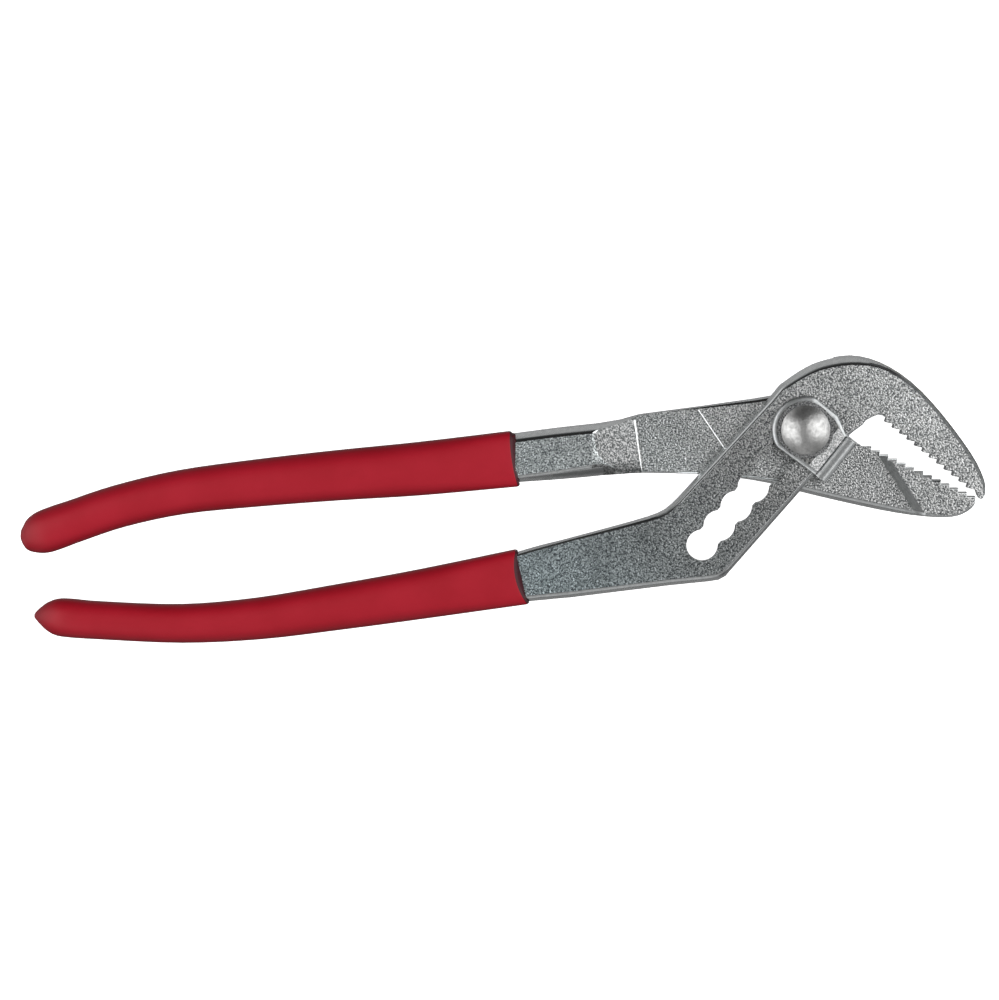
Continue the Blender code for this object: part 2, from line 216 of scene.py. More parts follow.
rearPlating = makeBlasted("blastedNickelRear", dict(blasted, toneAlong=[
    (0.0, "#e4eef0"), (0.3, "#ebf0f1"), (0.6, "#eaeaea"), (0.8, "#ededed"), (1.0, "#f6f6f6")]))
frontPlating = makeBlasted("blastedNickelFront", dict(blasted, toneAlong=[
    (0.0, "#c9d6da"), (0.3, "#b6babb"), (0.58, "#bebebe"), (0.88, "#eeeeee"), (1.0, "#ffffff")]))
rampPlating = makeBlasted("hammeredRampPlating", dict(
    blasted, height=0.16, roughness=(0.42, 0.54),
    shades=[(0.34, "#5a5c5c"), (0.46, "#7a7c7c"), (0.54, "#8c8e8e"), (0.66, "#b4b4b4")]))
flankPlating = makeFlank("satinNickelFlank", flank)
domePlating = makeFlank("polishedPivotSteel", dict(
    flank, grain=1.2, height=0.14, shades=[(0.3, "#a4a4a3"), (0.7, "#cbcbca")],
    roughness=(0.34, 0.46)))
guidePlating = makeBlasted("pressedGuidePlating", dict(
    blasted, grain=0.8, fineGrain=0.4, height=0.12,
    shades=[(0.34, "#4a4b4c"), (0.46, "#7e8080"), (0.56, "#9a9a98"), (0.68, "#c8c8c6")]))
bendPlating = makeBlasted("stretchedBendPlating", dict(
    blasted, height=0.09, roughness=(0.46, 0.58),
    shades=[(0.34, "#9a9c9c"), (0.46, "#cccece"), (0.56, "#e4e4e4"), (0.68, "#ffffff")]))
lipPlating = makeFlank("drawnLipPlating", dict(
    flank, height=0.012, shades=[(0.3, "#a9acad"), (0.7, "#c3c5c5")], roughness=(0.34, 0.42)))
washerSteel = makeBlasted("dullWasherSteel", dict(
    blasted, height=0.06, shades=[(0.36, "#5c5d5e"), (0.46, "#8a8b8c"), (0.64, "#b4b5b5")]))
edgePlating = makeFlank("polishedNickelEdge", dict(
    flank, height=0.008, roughness=(0.12, 0.2)))
# painted shade: a near-black flank plating that darkens the hook's right rim
paintedShadeRimPlating = makeFlank("paintedShadeNickelRim", dict(
    flank, shades=[(0.3, "#4c4e4e"), (0.7, "#6a6c6c")], roughness=(0.4, 0.5)))
# painted shade: a darker flank plating for the step's wall beside the neck
paintedShadeWallPlating = makeFlank("paintedShadeNickelWall", dict(
    flank, shades=[(0.3, "#7e8080"), (0.7, "#9c9e9e")], roughness=(0.4, 0.5)))
gripVinyl = makeVinyl("dippedRedVinyl", vinyl)
# painted shade: a near-black copy of the grip vinyl for the rounded rows at the grip's mouth
paintedShadeRimVinyl = makeVinyl("paintedShadeVinylRim", dict(
    vinyl, shades=[(0.35, "#3e0e18"), (0.65, "#501420")], height=0.03))


# Measures that both forgings share

head = {
    "thick": 10.0, "lapLow": 4.85, "lapHigh": 5.15, "handleThick": 7.6,
    "taperStart": -46.0, "taperEnd": -72.0, "taperSteps": 8, "eyeRadius": 11.8,
    "clearance": 0.5, "neckAngle": 48.6, "toothDepth": 1.05, "toothLean": 0.86, "past": 1.0,
    "skim": 0.015, "tangStart": -78.0, "tangRun": 6.0, "tangThick": 5.4, "tangShrink": 1.3,
    "backRings": [(0.9, 0.0), (0.25, 0.25), (0.0, 1.2), (0.0, 5.0)],     # inset, height
    "paintRise": (0.45, 0.985),
}
# the rows of the drafted band and its brow: what the inset loses, its least share, and the drop
edge = {"rows": [(0.7, 0.36, 1.0), (0.46, 0.5, 0.42)], "brow": (0.06, 0.12), "turn": 0.26}
ridge = {"root": 0.3, "crest": 0.1, "flank": 0.9, "flatRise": (0.75, 0.985), "flatHeight": 0.3}


# Outlines: each point is x, y and the width of the edge band there

def smoothLine(points, steps=3):
    ends = [Vector(p) for p in [points[0], *points, points[-1]]]
    out = []
    for p0, p1, p2, p3 in zip(ends, ends[1:], ends[2:], ends[3:]):
        for k in range(steps):
            t = k / steps
            bend = 2 * p0 - 5 * p1 + 4 * p2 - p3
            twist = 3 * p1 - p0 - 3 * p2 + p3
            out.append(0.5 * (2 * p1 + (p2 - p0) * t + bend * t ** 2 + twist * t ** 3))
    return out + [ends[-1]]


def arc(radius, start, end, steps, centre=(0, 0)):
    turns = [radians(start + (end - start) * k / steps) for k in range(steps + 1)]
    return [Vector((centre[0] + radius * cos(a), centre[1] + radius * sin(a))) for a in turns]


def withBand(points, start, end=None):
    end = start if end is None else end
    last = max(len(points) - 1, 1)
    return [Vector((p[0], p[1], start + (end - start) * k / last)) for k, p in enumerate(points)]


def sawTeeth(start, end, count, depth, lean):
    start, end = Vector(start), Vector(end)
    step = (end - start) / count
    out = Vector((-step.y, step.x)).normalized() * depth
    points = []
    for k in range(count):
        points += [start + step * k, start + step * (k + lean) + out]
    return points + [end]


def edgesOf(spine):
    rows = [Vector(row) for row in smoothLine(spine)]
    for row in rows:
        row.z -= head["tangShrink"] * min(max((head["tangStart"] - row.x) / head["tangRun"], 0), 1)
    upper, lower = [], []
    for k, row in enumerate(rows):
        ahead = rows[min(k + 1, len(rows) - 1)] - rows[max(k - 1, 0)]
        side = Vector((-ahead.y, ahead.x)).normalized() * row.z
        upper.append(row.xy + side)
        lower.append(row.xy - side)
    return upper, lower


def roundTip(spine, steps=10):
    ahead = Vector(spine[1]) - Vector(spine[0])
    turn = degrees(atan2(ahead.y, ahead.x))
    radius = spine[0][2] - head["tangShrink"]
    return arc(radius, turn - 90, turn - 270, steps, spine[0][:2])[1:-1]


def inwards(points):
    out = []
    for k, point in enumerate(points):
        before = (point.xy - points[k - 1].xy).normalized()
        after = (points[(k + 1) % len(points)].xy - point.xy).normalized()
        side = Vector((before.y + after.y, -before.x - after.x))
        side = side.normalized() if side.length > 0.01 else Vector((before.y, -before.x))
        out.append(side / max(side.dot(Vector((after.y, -after.x))), 0.6))
    return out


def thinHandle(x, z):
    part = (x - head["taperStart"]) / (head["taperEnd"] - head["taperStart"])
    part = min(max(part, 0.0), 1.0)
    part *= part * (3 - 2 * part)
    middle = head["thick"] / 2
    slim = 1 - (1 - head["handleThick"] / head["thick"]) * part
    inside = min(max((head["tangStart"] - x) / head["tangRun"], 0.0), 1.0)
    return middle + (z - middle) * slim * (1 - (1 - head["tangThick"] / head["handleThick"]) * inside)


# Solids from an outline: the back cap is a face, and each ring is an extrusion of the last

def meshObject(name, work, material=None):
    mesh = bpy.data.meshes.new(name)
    work.to_mesh(mesh)
    work.free()
    made = bpy.data.objects.new(name, mesh)
    scene.collection.objects.link(made)
    if material:
        mesh.materials.append(material)
    return made


def stackRings(points, rings):
    work = bmesh.new()
    sides = inwards(points)
    base = [work.verts.new((p.x * mm, p.y * mm, 0)) for p in points]
    cap = work.faces.new(base)
    for depth, ring in enumerate(rings):
        if depth:
            made = bmesh.ops.extrude_face_region(work, geom=[cap], use_keep_orig=True)
            if depth > 1:
                bmesh.ops.delete(work, geom=[cap], context="FACES_ONLY")
            cap = [g for g in made["geom"] if isinstance(g, bmesh.types.BMFace)][0]
        for k, vertex in enumerate(cap.verts):
            inset, height = ring(points[k])
            place = points[k].xy + sides[k] * inset
            vertex.co = (place.x * mm, place.y * mm, height * mm)
    run = (head["taperEnd"] - head["taperStart"]) / head["taperSteps"]
    stations = [head["taperStart"] + run * k for k in range(head["taperSteps"] + 1)]
    for x in stations + [head["tangStart"], head["tangStart"] - head["tangRun"]]:
        bmesh.ops.bisect_plane(work, geom=[*work.verts, *work.edges, *work.faces], dist=tiny,
                               plane_co=(x * mm, 0, 0), plane_no=(1, 0, 0))
    for vertex in work.verts:
        vertex.co.z = thinHandle(vertex.co.x / mm, vertex.co.z / mm) * mm
    bmesh.ops.recalc_face_normals(work, faces=work.faces)
    return work


def prism(name, points, low, high, move=None):
    work = bmesh.new()
    base = work.faces.new([work.verts.new((p[0] * mm, p[1] * mm, low * mm)) for p in points])
    made = bmesh.ops.extrude_face_region(work, geom=[base], use_keep_orig=True)
    for vertex in made["geom"]:
        if isinstance(vertex, bmesh.types.BMVert):
            vertex.co.z = high * mm
    if move:
        for vertex in work.verts:
            x, y = move(vertex.co.x / mm, vertex.co.y / mm, vertex.co.z / mm)
            vertex.co.x, vertex.co.y = x * mm, y * mm
    bmesh.ops.recalc_face_normals(work, faces=work.faces)
    return meshObject(name, work)


def turnedCutter(name, profile, steps=48):
    work = bmesh.new()
    points = [work.verts.new((radius * mm, 0, height * mm)) for radius, height in profile]
    edges = [work.edges.new(pair) for pair in zip(points, points[1:])]
    bmesh.ops.spin(work, geom=points + edges, angle=2 * pi, steps=steps, axis=(0, 0, 1),
                   cent=(0, 0, 0), use_merge=True, use_duplicate=False)
    bmesh.ops.remove_doubles(work, verts=work.verts, dist=tiny)
    bmesh.ops.recalc_face_normals(work, faces=work.faces)
    return meshObject(name, work)


def cutBy(solid, tools, operation="DIFFERENCE"):
    for tool in tools:
        step = solid.modifiers.new(tool.name, "BOOLEAN")
        step.operation = operation
        step.solver = "EXACT"
        step.object = tool
    bpy.context.view_layer.update()
    graph = bpy.context.evaluated_depsgraph_get()
    mesh = bpy.data.meshes.new_from_object(solid.evaluated_get(graph))
    solid.modifiers.clear()
    solid.data = mesh
    for tool in tools:
        bpy.data.objects.remove(tool, do_unlink=True)
    return solid


def paintForging(solid, plating, tests):
    # the slots: 0 blasted face, 1 flank, 2 ramp, 3 polished edge, 4 painted-shade rim, 5 painted-shade
    # wall
    for material in (plating, flankPlating, rampPlating, edgePlating, paintedShadeRimPlating, paintedShadeWallPlating):
        solid.data.materials.append(material)
    steep, level = head["paintRise"]
    for face in solid.data.polygons:
        rise = face.normal.z
        face.material_index = 0 if abs(rise) > level else 3 if rise > steep else 1
        for index, test in tests:
            if test(face.center / mm, face.normal):
                face.material_index = index
        onRidge = 0 < face.center.z / mm - head["lapLow"] < ridge["flatHeight"]
        face.use_smooth = not (onRidge and ridge["flatRise"][0] < rise < ridge["flatRise"][1])
    solid.data.set_sharp_from_angle(angle=radians(sharpAngle))


def alongNeck(along, across, askew=0.0):
    a = radians(head["neckAngle"] + askew)
    return Vector((along * cos(a) + across * sin(a), along * sin(a) - across * cos(a)))


# Rear arm: lower jaw, thin eye plate, ramp and handle bar

rearArm = {
    "core": [
        (-195.0, -25.8, 4.2), (-178.0, -20.0, 4.4), (-162.0, -16.5, 4.6), (-142.0, -14.0, 4.9),
        (-121.0, -12.0, 5.3), (-100.0, -10.2, 5.7), (-77.0, -7.7, 6.3), (-64.0, -6.4, 6.7),
        (-53.0, -5.3, 6.8),
    ],
    "top": [(-48.0, 2.4, 1.6), (-43.0, 3.8, 0.5), (-27.0, 5.9, 0.5), (-13.0, 7.9, 0.9)],
    "eye": (132.0, -10.0),
    "teeth": ((15.0, -4.6), (44.1, -18.6), 13),
    "nose": [
        (44.1, -19.2, 0.3), (43.3, -20.5, 0.5), (41.0, -22.1, 0.6), (38.0, -22.9, 0.6),
        (34.0, -23.0, 0.7), (28.0, -22.6, 1.2), (19.6, -21.2, 1.5), (9.2, -18.95, 1.5),
        (-1.2, -16.45, 1.5), (-9.0, -14.3, 1.3), (-18.0, -12.8, 0.9), (-28.0, -11.9, 0.6),
        (-42.0, -11.6, 0.5), (-47.0, -11.8, 0.8),
    ],
    "tipBand": 2.0, "topBand": 0.9, "barTop": 2.0, "toothBand": 0.1,
    "barBottom": (1.5, 2.9), "barBottomRun": (-77.0, 21.0),
    "plateStart": -54.5, "plateFull": -42.0, "noseFade": (30.0, 4.0), "topRing": (0.32, 0.28),
    "plateRings": [(0.9, 0.0), (0.25, 0.25), (0.0, 0.9), (0.02, 1.1)],
    "foot": ((-48.0, 25.0), (-39.4, -30.0), 28),
    "relief": [(32.2, -27.6), (17.6, -4.5), (30, 2), (30, 25)],
    "rampRun": 14.0, "rampCorner": (-2.0, 8.0, 0.39, 0.7), "wallRun": 2.5, "wallAngle": 32.2,
    "rampSide": (-51.0, -42.5, -9.0), "rampFrom": -40.0, "wallFrom": 10.0,
    "ridges": [((-27.7, 4.9), (-21.0, -5.0), 0.6, 0.13), ((-44.0, 2.4), (-42.3, -10.6), 0.95, 0.2)],
    "hole": [(0, 5.85), (3.1, 5.85), (3.1, 2.1), (5.3, 0.5), (5.3, -1), (0, -1)],
}


def edgeRings(band, high):
    soft = min(band, 1.0)
    rows = [(max(band - loss, share * band), high - drop * soft)
            for loss, share, drop in edge["rows"]]
    return [*rows, (band + edge["brow"][0], high - edge["brow"][1] * soft),
            (band + edge["turn"] * soft, high)]


def rearRings(spec):
    # each ring goes from the handle's section to the thin plate's, and back at the jaw's nose
    def blend(p, bar, plate):
        share = (p.x - spec["plateStart"]) / (spec["plateFull"] - spec["plateStart"])
        share = min(max(share, 0.0), 1.0)
        if p.y < 0:
            start, run = spec["noseFade"]
            share *= 1 - min(max((p.x - start) / run, 0.0), 1.0)
        return Vector(bar).lerp(Vector(plate), share)

    thick, low = head["thick"], head["lapLow"]
    overBar, overPlate = spec["topRing"]
    backs = list(zip(head["backRings"], spec["plateRings"]))
    rings = [lambda p, pair=pair: blend(p, *pair) for pair in backs]
    rings += [lambda p, k=k: blend(p, edgeRings(p.z, thick)[k], edgeRings(p.z, low)[k])
              for k in range(len(edge["rows"]) + 2)]
    return rings + [lambda p: blend(p, (p.z + overBar, thick), (p.z + overPlate, thick))]


def makeRidge(start, end, width, height):
    # a parting line left proud by the die: a low prism, narrower at its crest
    start, end = Vector(start), Vector(end)
    along = (end - start).normalized()
    side = along.orthogonal() * width / 2
    base = head["lapLow"] - head["skim"]
    slope = height / ridge["flank"]

    def narrow(x, y, z):
        place = Vector((x, y))
        near = start + along * (place - start).dot(along)
        return near + (place - near) * (ridge["crest"] if z > base else 1 + ridge["root"] / slope)

    return prism("ridge", [start + side, start - side, end - side, end + side],
                 base - ridge["root"], base + height, narrow)


def makeRearArm(spec):
    upper, lower = edgesOf(spec["core"])
    thin, wide = spec["barBottom"]
    start, run = spec["barBottomRun"]
    teeth = sawTeeth(*spec["teeth"], head["toothDepth"], head["toothLean"])
    outline = [
        *withBand(roundTip(spec["core"]), spec["tipBand"]), *withBand(upper, spec["barTop"]),
        *[Vector(p) for p in spec["top"]],
        *withBand(arc(head["eyeRadius"], *spec["eye"], 24), spec["topBand"], spec["toothBand"]),
        *withBand(teeth, spec["toothBand"]), *smoothLine(spec["nose"], 2),
        *[Vector((p.x, p.y, thin + (wide - thin) * min(max((p.x - start) / run, 0), 1)))
          for p in lower[::-1]],
    ]
    work = stackRings(outline, rearRings(spec))
    arm = meshObject("rearArmForging", work)

    def slant(x, y, z):
        rise = (z - head["lapLow"]) / (head["thick"] + head["past"] - head["lapLow"])
        if x < 0:
            top, span, share, most = spec["rampCorner"]
            turn = min(share * max((top - y) / span, 0) ** 4, most)
            return x - spec["rampRun"] * (1 - turn) * rise, y
        turn = radians(spec["wallAngle"])
        return x + spec["wallRun"] * cos(turn) * rise, y + spec["wallRun"] * sin(turn) * rise

    start, end, count = spec["foot"]
    foot = [Vector(start).lerp(Vector(end), k / count) for k in range(count + 1)]
    relief = prism("relief", foot + spec["relief"], head["lapLow"] - head["skim"],
                   head["thick"] + head["past"], slant)
    cutBy(arm, [relief, turnedCutter("hole", spec["hole"])])
    cutBy(arm, [makeRidge(*ridge) for ridge in spec["ridges"]], "UNION")
    left, right, bottom = spec["rampSide"]
    paintForging(arm, rearPlating, [
        (2, lambda at, way: way.z > 0.85 and way.x > 0.15 and at.x < spec["rampFrom"]),
        (2, lambda at, way: 0.2 < way.z < 0.985 and left < at.x < right and at.y < bottom),
        # painted shade: the step's wall takes the darker wall plating
        (5, lambda at, way: 0.2 < way.z < 0.6 and way.x < -0.5 and at.x > spec["wallFrom"])])
    arm.modifiers.new("evenNormals", "WEIGHTED_NORMAL").keep_sharp = True
    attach(arm, "rear_arm")
    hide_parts("rear_jaw_forging")
    return arm


# Front arm: upper jaw, neck with its row of notches, and handle

frontArm = {
    "core": [
        (-191.0, -49.2, 3.7), (-183.0, -49.8, 3.8), (-162.0, -50.6, 4.0), (-142.0, -49.3, 4.3),
        (-121.0, -46.3, 4.7), (-100.0, -43.0, 5.2), (-78.0, -39.3, 6.2), (-70.0, -37.8, 6.9),
    ],
    "shoulder": [
        (-61.0, -28.2, 0.7), (-50.5, -25.4, 0.8), (-41.0, -22.7, 1.0), (-36.5, -20.8, 1.2),
        (-33.3, -18.0, 1.3),
    ],
    "neckTop": [(-9.6, 7.9, 1.4)],
    "hook": [
        (-6.7, 11.5, 1.5), (-1.4, 15.2, 1.8), (3.9, 17.7, 2.0), (11.8, 19.1, 2.1),
        (19.6, 17.3, 1.3), (27.6, 12.3, 0.8), (35.4, 4.2, 0.85), (43.2, -6.3, 0.85),
        (46.4, -12.6, 0.8), (46.9, -16.0, 0.6), (46.3, -17.8, 0.3), (45.2, -18.0, 0.2),
        (44.6, -17.0, 0.1),
    ],
    "teeth": ((44.2, -15.6), (21.0, 3.0), 12),
    "throat": [(20.0, 3.6), (18.8, 3.8), (17.2, 3.15), (15.7, 2.3), (14.9, 1.2)],
    "corner": (11.6, -1.5, 0.8),
    "heel": [(-19.3, -36.8, 1.4), (-20.6, -38.3, 1.5), (-22.4, -39.3, 1.6), (-25.0, -39.7, 1.6)],
    "bottom": [(-35.0, -40.7, 1.6), (-50.5, -42.6, 1.6), (-61.0, -43.9, 1.6)],
    "tipBand": 1.0, "barTop": 0.7, "barBottom": 1.5, "toothBand": 0.1, "throatBand": 0.25,
    "paintedShadeRimFrom": (18.0, -17.0),
    "slotAside": -0.2, "notches": 7, "pitch": 6.7, "notchRadius": 4.1, "notchNeck": 6.1,
    "block": (-9.0, 68.0),
    "relief": [(11.2, 27.8), (-30, 29), (-62, -20), (-68, -60), (-20, -60), (20, -35), (16, -7)],
    "backRun": 9.0, "backSide": -60.0,
}


def notchRow(spec):
    waist = degrees(asin(spec["notchNeck"] / 2 / spec["notchRadius"]))
    turn, right = head["neckAngle"], []
    for k in range(spec["notches"]):
        start = turn if k == 0 else turn - waist
        end = turn - 180 if k == spec["notches"] - 1 else turn - 180 + waist
        right += arc(spec["notchRadius"], start, end, 10, alongNeck(-k * spec["pitch"], 0))
    axis = alongNeck(1, 0)
    left = [2 * point.dot(axis) * axis - point for point in reversed(right)]
    return [point + alongNeck(0, spec["slotAside"]) for point in right + left[1:-1]]


def makeFrontArm(spec):
    upper, lower = edgesOf(spec["core"])
    teeth = sawTeeth(*spec["teeth"], head["toothDepth"], head["toothLean"])
    outline = [
        *withBand(roundTip(spec["core"]), spec["tipBand"]), *withBand(upper, spec["barTop"]),
        *smoothLine(spec["shoulder"], 2), *[Vector(p) for p in spec["neckTop"]],
        *smoothLine(spec["hook"]), *withBand(teeth, spec["toothBand"]),
        *withBand(spec["throat"], spec["throatBand"]), Vector(spec["corner"]),
        *[Vector(p) for p in spec["heel"] + spec["bottom"]],
        *withBand(lower[::-1], spec["barBottom"]),
    ]
    rings = [lambda p, row=row: row for row in head["backRings"]]
    rings += [lambda p, k=k: edgeRings(p.z, head["thick"])[k]
              for k in range(len(edge["rows"]) + 2)]
    arm = meshObject("frontArmForging", stackRings(outline, rings))

    def slant(x, y, z):
        rise = (head["lapHigh"] - z) / (head["lapHigh"] + head["past"])
        return (x - spec["backRun"] * rise if x < spec["backSide"] else x), y

    block = arc(head["eyeRadius"] + head["clearance"], *spec["block"], 24)
    relief = prism("relief", [*spec["relief"], *block], -head["past"], head["lapHigh"], slant)
    slot = prism("slot", notchRow(spec), -head["past"], head["thick"] + head["past"])
    cutBy(arm, [relief, slot])
    # painted shade: the hook's right rim takes the near-black rim plating
    near, down = spec["paintedShadeRimFrom"]
    paintForging(arm, frontPlating, [
        (4, lambda at, way: 0.3 < way.z < 0.985 and way.x > 0.2 and at.x > near and at.y > down)])
    arm.modifiers.new("evenNormals", "WEIGHTED_NORMAL").keep_sharp = True
    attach(arm, "front_arm")
    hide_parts("front_jaw_forging")
    return arm


print("forging the two arms")
makeRearArm(rearArm)
makeFrontArm(frontArm)


# Vinyl grips: rings from the tip to the cuff, then back down the pocket

grips = {
    "rear": {
        "line": [
            (-203.9, -28.4, 0.6, 0.6), (-203.3, -28.3, 2.4, 2.0), (-201.6, -28.0, 4.2, 3.4),
            (-198.4, -27.0, 5.5, 4.5), (-194.0, -25.4, 5.7, 4.9), (-190.0, -24.0, 5.6, 5.0),
            (-178.0, -20.0, 5.6, 5.0), (-162.0, -16.4, 5.8, 5.0), (-142.0, -14.0, 6.2, 5.0),
            (-121.0, -12.0, 6.6, 5.0), (-100.0, -10.3, 7.0, 5.0), (-76.2, -7.8, 7.3, 5.0),
        ],
        "body": "rear_arm", "node": "rear_grip", "core": rearArm["core"],
        "bow": 0.35, "skew": 0.3,
    },
    "front": {
        "line": [
            (-200.4, -48.6, 0.5, 0.5), (-199.3, -48.6, 1.8, 1.7), (-197.2, -48.7, 3.6, 3.2),
            (-194.6, -48.9, 4.8, 4.4), (-191.0, -49.2, 5.1, 4.9), (-183.0, -49.8, 5.0, 5.0),
            (-162.0, -50.6, 5.1, 5.0), (-142.0, -49.3, 5.5, 5.0), (-121.0, -46.3, 6.0, 5.0),
            (-100.0, -43.0, 6.5, 5.0), (-74.6, -38.6, 7.3, 5.0),
        ],
        "body": "front_arm", "node": "front_grip", "core": frontArm["core"],
        "bow": 1.0, "skew": 0.3,
    },
    "sides": 48, "gap": 0.15,
    # the section is a superellipse, squarer towards the mouth and nearly square in the pocket
    "round": 2.15, "mouth": 4.2, "fade": 30.0, "pocket": 8.0,
    "rim": [(0.35, 0.05), (0.7, 0.2), (0.9, 0.5)], "rimEnd": 0.95, "rimRows": 4,
    "bowRows": 6, "bowCurve": 1.6,
}


def gripStations(spec, rows):
    # x, y, half width, half thickness and squareness of each ring
    last = rows[-1]
    ahead = (last.xy - rows[-2].xy).normalized()
    mouth, pocket, gap = grips["mouth"], grips["pocket"], grips["gap"]

    def power(x):
        far = min((last.x - x) / grips["fade"], 1.0)
        return grips["round"] + (mouth - grips["round"]) * (1 - far) ** 2

    stations = [(r.x, r.y, r.z, r.w, power(r.x)) for r in rows]
    for step, shrink in grips["rim"]:
        at = last.xy + ahead * step
        stations.append((at.x, at.y, last.z - shrink, last.w - shrink, mouth))
    inner = [r for r in smoothLine(spec["core"], 6) if r.x < last.x + 0.5][::-1]
    middle = head["handleThick"] / 2 + gap
    at = last.xy + ahead * grips["rimEnd"]
    stations.append((at.x, at.y, inner[0].z + gap, middle + 0.05, pocket))
    thin = (head["handleThick"] - head["tangThick"]) / 2
    for r in inner:
        slim = min(max((head["tangStart"] - r.x) / head["tangRun"], 0), 1)
        stations.append((r.x, r.y, r.z + gap - head["tangShrink"] * slim, middle - thin * slim,
                         pocket))
    return stations


def nextRing(work, loop, edges):
    # extrudes the open ring, and pairs each new vertex with the one it came from
    made = bmesh.ops.extrude_edge_only(work, edges=edges)["geom"]
    partner = {}
    for vertex in [g for g in made if isinstance(g, bmesh.types.BMVert)]:
        near = min(loop, key=lambda v: (v.co - vertex.co).length_squared)
        partner[near] = vertex
    return [partner[v] for v in loop], [g for g in made if isinstance(g, bmesh.types.BMEdge)]


def makeGrip(name, spec):
    rows = smoothLine(spec["line"], 4)
    stations = gripStations(spec, rows)
    bowStart = len(rows) - grips["bowRows"]
    work = bmesh.new()
    made = bmesh.ops.create_circle(work, segments=grips["sides"], radius=mm, cap_ends=False)
    first = loop = made["verts"]
    turns = [atan2(v.co.y, v.co.x) for v in loop]
    edges = list(dict.fromkeys(e for v in loop for e in v.link_edges))
    for k, (x, y, wide, thick, square) in enumerate(stations):
        if k:
            loop, edges = nextRing(work, loop, edges)
        before, after = stations[max(k - 1, 0)], stations[min(k + 1, len(stations) - 1)]
        run = Vector((after[0] - before[0], after[1] - before[1])).normalized()
        if run.x < 0:
            run = -run
        side = Vector((-run.y, run.x))
        for vertex, turn in zip(loop, turns):
            c, s = cos(turn), sin(turn)
            reach = (abs(c) ** square + abs(s) ** square) ** (-1 / square)
            across, up = wide * reach * c, thick * reach * s
            place = Vector((x, y)) + side * across
            if square < grips["pocket"] and k > bowStart:
                share = min((k - bowStart) / (grips["bowRows"] - 1), 1.0)
                bow = spec["bow"] * ((across / wide) ** 2 * grips["bowCurve"] - 1.0)
                place += run * share * (bow - spec["skew"] * across / wide)
            vertex.co = (place.x * mm, place.y * mm, (head["thick"] / 2 + up) * mm)
    work.faces.new(first)
    work.faces.new(loop)
    bmesh.ops.recalc_face_normals(work, faces=work.faces)
    grip = meshObject(name, work, gripVinyl)
    # the mouth's rounded rows take the darker vinyl as painted shade
    grip.data.materials.append(paintedShadeRimVinyl)
    rim = range(len(rows), len(rows) + grips["rimRows"])
    for face in grip.data.polygons:
        face.use_smooth = True
        face.material_index = int(all(v // grips["sides"] in rim for v in face.vertices))
    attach(grip, spec["body"])
    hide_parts(spec["node"])
    return grip


print("dipping the grips")
makeGrip("rearGripSleeve", grips["rear"])
makeGrip("frontGripSleeve", grips["front"])


# Guide plate with its hooked lip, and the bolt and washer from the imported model

guide = {
    "low": 10.3, "thick": 1.5, "radius": 8.75, "flat": 8.15, "shoulder": 4.4, "askew": 2.8,
    "crease": 9.2, "inner": 10.7, "outer": 12.7, "round": 1.5, "rise": 0.4,
    "start": -7.7, "end": 5.5, "bottom": 5.4, "hole": 3.1,
    "foot": 0.2, "draft": 0.3, "rim": 1.0, "rimDrop": 0.44, "bend": 6.4, "bendRise": 0.26,
    "groove": 0.12, "grooveDepth": 0.9, "crownSag": 0.8,
    "tuck": 1.2, "lipShort": 0.12, "lipBevel": 0.2,      # the lip's root runs into the plate
    "flatRise": 0.97, "flatPast": 0.2, "slack": 0.05,
}


def pressPlate(spec, across):
    # a thin blank, then two insets for its draft and rim, and a bend up towards the crease
    turn = head["neckAngle"] + spec["askew"]
    corner = degrees(asin(spec["flat"] / spec["radius"]))
    inside = spec["crease"] - spec["groove"]
    outline = [
        *arc(spec["radius"], turn + 90 - corner, turn + 90 + corner, 24),
        alongNeck(spec["start"], inside, spec["askew"]),
        alongNeck(spec["end"], inside, spec["askew"]),
        alongNeck(spec["flat"], spec["shoulder"], spec["askew"]),
    ]
    plate = prism("guidePlate", outline, spec["low"], spec["low"] + spec["foot"])
    work = bmesh.new()
    work.from_mesh(plate.data)
    face = max(work.faces, key=lambda f: f.calc_center_median().z)
    for inset, rise in ((spec["draft"], spec["thick"] - spec["foot"] - spec["rimDrop"]),
                        (spec["rim"], spec["rimDrop"])):
        bmesh.ops.inset_individual(work, faces=[face], thickness=inset * mm, depth=rise * mm,
                                   use_even_offset=True)
        for vertex in face.verts:
            off = inside - vertex.co.xy.dot(across) / mm
            if off < inset + spec["slack"]:
                vertex.co += (across * off * mm).to_3d()
    bmesh.ops.bisect_plane(work, geom=[*work.verts, *work.edges, *work.faces], dist=tiny,
                           plane_co=(across * spec["bend"] * mm).to_3d(), plane_no=across.to_3d())
    for vertex in work.verts:
        lift = (vertex.co.xy.dot(across) / mm - spec["bend"]) / (spec["crease"] - spec["bend"])
        if vertex.co.z > (spec["low"] + spec["foot"] / 2) * mm and lift > 0:
            vertex.co.z += lift * spec["bendRise"] * mm
    work.to_mesh(plate.data)
    work.free()
    return plate


